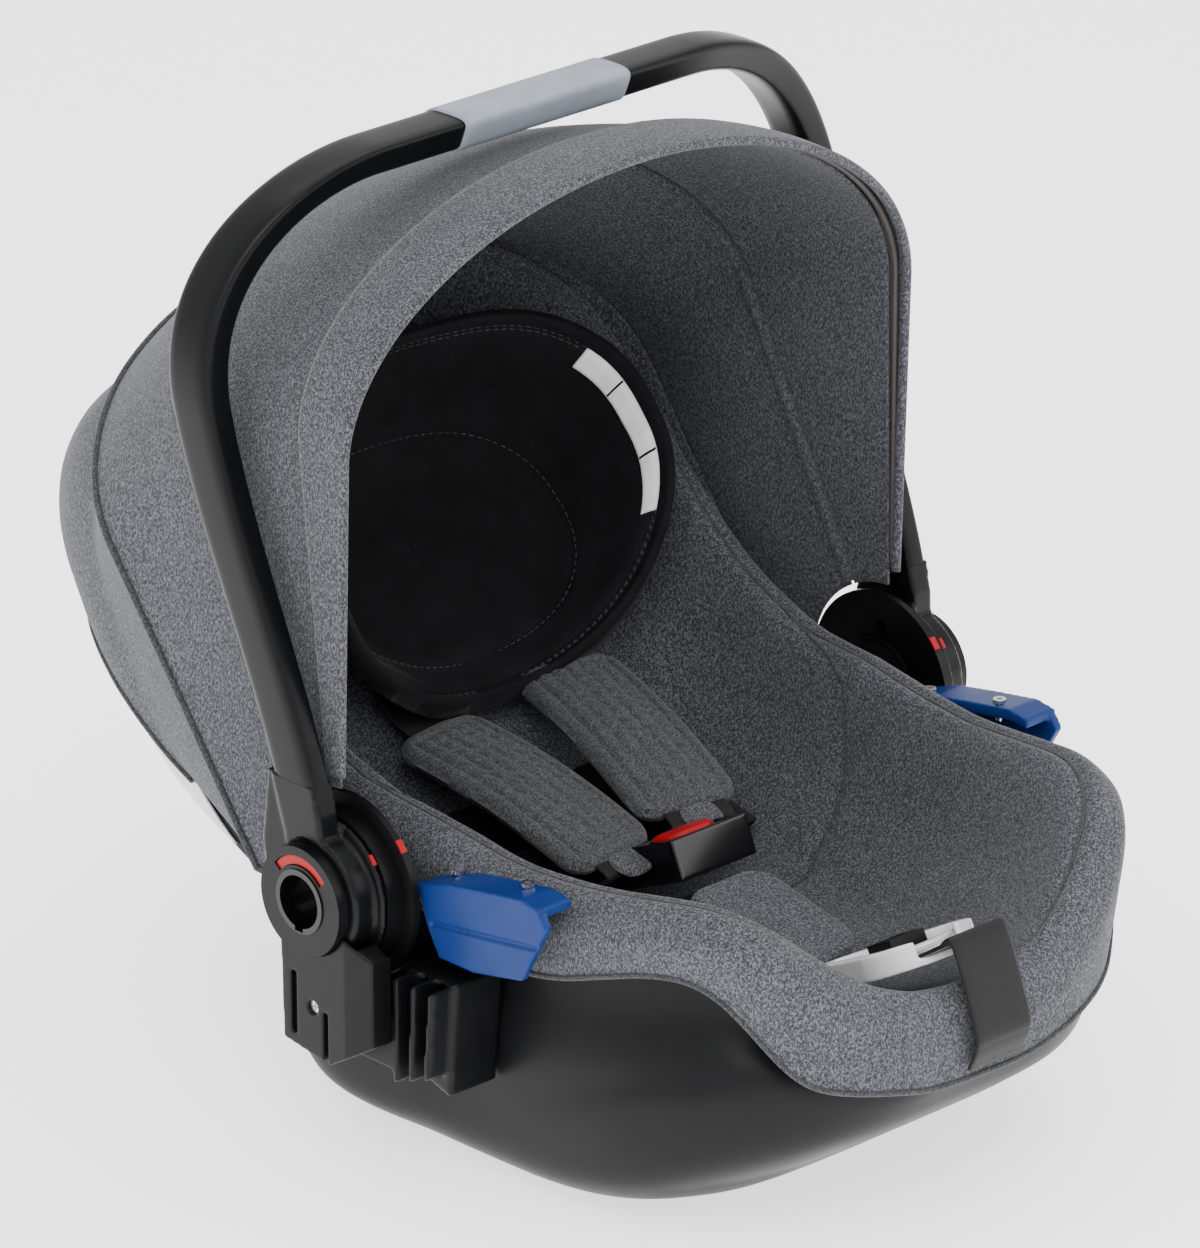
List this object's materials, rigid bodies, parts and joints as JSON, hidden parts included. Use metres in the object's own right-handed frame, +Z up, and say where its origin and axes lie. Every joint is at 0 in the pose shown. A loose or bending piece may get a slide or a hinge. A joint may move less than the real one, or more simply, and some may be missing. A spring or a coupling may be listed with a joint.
{
  "type": "infant car seat",
  "caption": "Rear-facing infant car seat with rocker shell, folding fabric canopy, turning carry handle, harness with buckle, and side adapter sockets.",
  "frame": {"origin": "on the floor, straight below the handle's pivot axis, on the flat middle of the rocker base", "axes": "+X across the seat, -Y towards the feet, +Y towards the head, +Z up"},
  "size_m": [0.4468, 0.6046, 0.515],
  "materials": {
    "shell_black": "fine moulded grain",
    "foam": "expanded foam",
    "heather": "heather melange weave",
    "strip_white": "satin white film",
    "hub_black": "satin moulded",
    "gloss_black": "polished",
    "signal_red": "satin red",
    "steel": "zinc plated",
    "guide_blue": "satin blue",
    "insert_black": "smooth knitted fabric",
    "pad_charcoal": "quilted fabric",
    "webbing": "woven polyester webbing",
    "gloss_white": "polished white",
    "piping": "corded piping",
    "bow_black": "satin",
    "zip_brown": "coated zip tape",
    "handle_black": "satin with soft edges",
    "grip_grey": "soft rubber sleeve"
  },
  "bodies": {
    "seat": {"shell": "shell_black", "foam_liner": "foam", "seat_cover": "heather", "back_cover": "heather", "side_strip_left": "strip_white", "side_strip_right": "strip_white", "hub_bracket_left": "shell_black", "hub_bracket_right": "shell_black", "fixed_drum_left": "hub_black", "fixed_drum_right": "hub_black", "hub_core_left": "hub_black", "hub_core_right": "hub_black", "adapter_ring_left": "gloss_black", "adapter_ring_right": "gloss_black", "lock_flags": "signal_red", "adapter_plate_left": "hub_black", "adapter_plate_right": "hub_black", "plate_screws": "steel", "belt_guide_left": "guide_blue", "belt_guide_right": "guide_blue", "guide_screws": "steel", "index_marks_fixed": "signal_red", "base_bar_front": "steel", "base_bar_rear": "steel", "head_insert": "insert_black", "body_insert": "insert_black", "insert_patch": "strip_white", "shoulder_pad_left": "pad_charcoal", "shoulder_pad_right": "pad_charcoal", "shoulder_strap_left": "webbing", "shoulder_strap_right": "webbing", "hip_straps": "webbing", "crotch_strap": "webbing", "crotch_pad": "pad_charcoal", "splitter_plate": "steel", "buckle_housing": "hub_black", "buckle_tongues": "gloss_black", "buckle_spring": "steel", "adjuster_housing": "gloss_white", "adjuster_pin": "steel", "adjuster_strap": "webbing", "adjuster_spring": "steel", "canopy_rear_panel": "heather", "canopy_rear_arch": "piping", "release_spring_left": "steel", "release_spring_right": "steel"},
    "canopy_mid": {"mid_bow": "bow_black", "canopy_front_panel": "heather"},
    "canopy_front": {"canopy_rim": "heather", "rim_bow": "bow_black", "zip_tape": "zip_brown"},
    "handle": {"handle": "handle_black", "handle_grip": "grip_grey", "index_marks_handle": "signal_red"},
    "release_left": {"release_button_left": "hub_black", "lock_ring_left": "steel"},
    "release_right": {"release_button_right": "hub_black", "lock_ring_right": "steel"},
    "buckle_release": {"buckle_button": "signal_red"},
    "adjuster_release": {"adjuster_button": "hub_black"}
  },
  "joints": [
    {"name": "handle_turn", "type": "hinge", "parent": "seat", "child": "handle", "pos_m": [0, 0, 0.158], "axis": [1, 0, 0], "range_deg": [-40, 95]},
    {"name": "canopy_mid_fold", "type": "hinge", "parent": "seat", "child": "canopy_mid", "pos_m": [0, 0, 0.158], "axis": [1, 0, 0], "range_deg": [-15, 0]},
    {"name": "canopy_front_fold", "type": "hinge", "parent": "canopy_mid", "child": "canopy_front", "pos_m": [0, 0, 0.158], "axis": [1, 0, 0], "range_deg": [-22.5, 0]},
    {"name": "release_left_press", "type": "slide", "parent": "seat", "child": "release_left", "axis": [-1, 0, 0], "range_m": [0, 0.004], "stiffness_N_per_m": 500, "deforming": ["release_spring_left"]},
    {"name": "release_right_press", "type": "slide", "parent": "seat", "child": "release_right", "axis": [1, 0, 0], "range_m": [0, 0.004], "stiffness_N_per_m": 500, "deforming": ["release_spring_right"]},
    {"name": "buckle_press", "type": "slide", "parent": "seat", "child": "buckle_release", "axis": [0, -0.4067, -0.9135], "range_m": [0, 0.004], "stiffness_N_per_m": 500, "deforming": ["buckle_spring"]},
    {"name": "adjuster_press", "type": "slide", "parent": "seat", "child": "adjuster_release", "axis": [0, -0.4848, -0.8746], "range_m": [0, 0.003], "stiffness_N_per_m": 500, "deforming": ["adjuster_spring"]}
  ],
  "couplings": [
    {"joint": "canopy_front_fold", "follows": "canopy_mid_fold", "ratio": 1.5}
  ]
}
